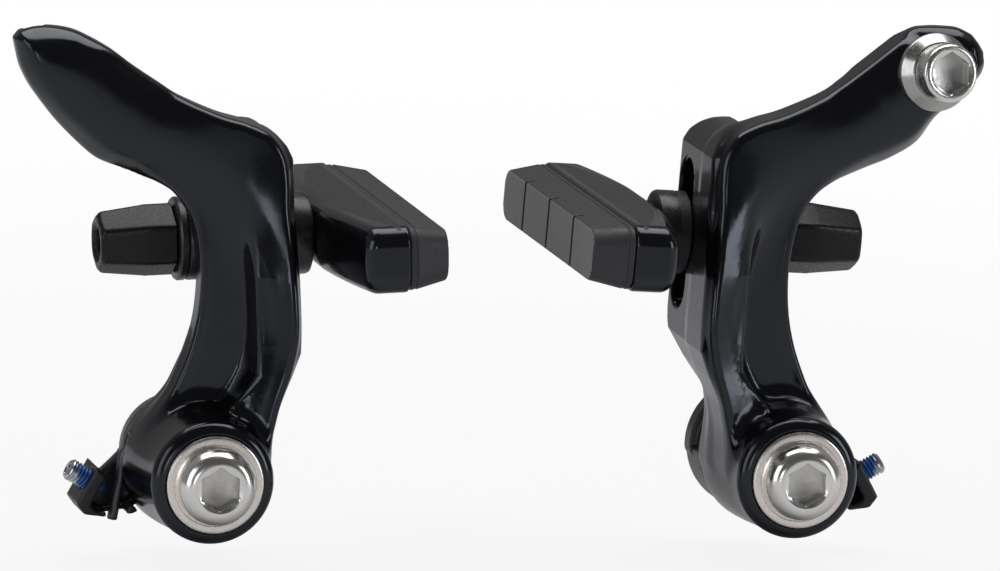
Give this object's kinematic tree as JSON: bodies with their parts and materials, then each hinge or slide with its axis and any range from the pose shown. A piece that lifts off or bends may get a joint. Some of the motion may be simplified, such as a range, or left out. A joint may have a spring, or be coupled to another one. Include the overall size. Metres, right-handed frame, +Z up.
{
  "type": "cantilever brake",
  "caption": "Black cantilever brake for a bicycle fork: curved arms on pivots, with return springs, tension screws and grooved pads that can be set in height and angle.",
  "frame": {"origin": "midway between the two pivot axes, in the plane of the fork's shoulders, where the bushes end", "axes": "+X to the right-hand side seen from the front, the front faces -Y, +Z up; the pivots turn about Y"},
  "size_m": [0.133, 0.0537, 0.0685],
  "materials": {
    "black_paint": "gloss black paint on a cast arm",
    "polished_steel": "polished nickel plate",
    "bush_steel": "satin",
    "spring_wire": "dark satin",
    "black_plastic": "satin",
    "zinc_steel": "zinc plate",
    "black_steel": "satin black",
    "holder_paint": "gloss black",
    "pad_rubber": "matte"
  },
  "bodies": {
    "fork_side": {"left_pivot_bolt": "polished_steel", "left_pivot_washer": "polished_steel", "left_pivot_bush": "bush_steel", "left_return_spring": "spring_wire", "right_pivot_bolt": "polished_steel", "right_pivot_washer": "polished_steel", "right_pivot_bush": "bush_steel", "right_return_spring": "spring_wire"},
    "left_arm": {"left_arm": "black_paint", "left_spring_cap": "black_plastic"},
    "left_screw": {"left_tension_screw": "zinc_steel"},
    "left_clamp": {"left_inner_dome_washer": "black_steel", "left_outer_dome_washer": "black_steel"},
    "left_tilt": {"left_inner_cup_washer": "black_steel", "left_outer_cup_washer": "black_steel", "left_nut_washer": "black_steel"},
    "left_pad": {"left_brake_pad": "pad_rubber", "left_pad_holder": "holder_paint", "left_pad_post": "black_steel", "left_pad_nut": "black_steel"},
    "right_arm": {"right_arm": "black_paint", "right_spring_cap": "black_plastic", "cable_anchor_bolt": "polished_steel", "cable_anchor_washer": "polished_steel"},
    "right_screw": {"right_tension_screw": "zinc_steel"},
    "right_clamp": {"right_inner_dome_washer": "black_steel", "right_outer_dome_washer": "black_steel"},
    "right_tilt": {"right_inner_cup_washer": "black_steel", "right_outer_cup_washer": "black_steel", "right_nut_washer": "black_steel"},
    "right_pad": {"right_brake_pad": "pad_rubber", "right_pad_holder": "holder_paint", "right_pad_post": "black_steel", "right_pad_nut": "black_steel"}
  },
  "joints": [
    {"name": "left_arm_pivot", "type": "hinge", "parent": "fork_side", "child": "left_arm", "pos_m": [-0.04, 0, 0], "axis": [0, 1, 0], "range_deg": [-30, 12], "stiffness_Nm_per_rad": 0.9, "deforming": ["left_return_spring"]},
    {"name": "left_tension_screw_travel", "type": "slide", "parent": "left_arm", "child": "left_screw", "axis": [-0.8746, 0, 0.4848], "range_m": [-0.001, 0.0015]},
    {"name": "left_pad_height", "type": "slide", "parent": "left_arm", "child": "left_clamp", "axis": [-0.0488, 0, 0.9988], "range_m": [-0.006, 0.006]},
    {"name": "left_pad_toe_in", "type": "hinge", "parent": "left_clamp", "child": "left_tilt", "pos_m": [-0.03108, -0.0046, 0.02957], "axis": [-0.0488, 0, 0.9988], "range_deg": [-4, 4]},
    {"name": "left_pad_swing", "type": "hinge", "parent": "left_tilt", "child": "left_pad", "pos_m": [-0.03108, -0.0046, 0.02957], "axis": [0.9988, 0, 0.0488], "range_deg": [-15, 15]},
    {"name": "right_arm_pivot", "type": "hinge", "parent": "fork_side", "child": "right_arm", "pos_m": [0.04, 0, 0], "axis": [0, -1, 0], "range_deg": [-30, 12], "stiffness_Nm_per_rad": 0.9, "deforming": ["right_return_spring"]},
    {"name": "right_tension_screw_travel", "type": "slide", "parent": "right_arm", "child": "right_screw", "axis": [0.8746, 0, 0.4848], "range_m": [-0.001, 0.0015]},
    {"name": "right_pad_height", "type": "slide", "parent": "right_arm", "child": "right_clamp", "axis": [0.0488, 0, 0.9988], "range_m": [-0.006, 0.006]},
    {"name": "right_pad_toe_in", "type": "hinge", "parent": "right_clamp", "child": "right_tilt", "pos_m": [0.03108, -0.0046, 0.02957], "axis": [0.0488, 0, 0.9988], "range_deg": [-4, 4]},
    {"name": "right_pad_swing", "type": "hinge", "parent": "right_tilt", "child": "right_pad", "pos_m": [0.03108, -0.0046, 0.02957], "axis": [-0.9988, 0, 0.0488], "range_deg": [-15, 15]}
  ]
}
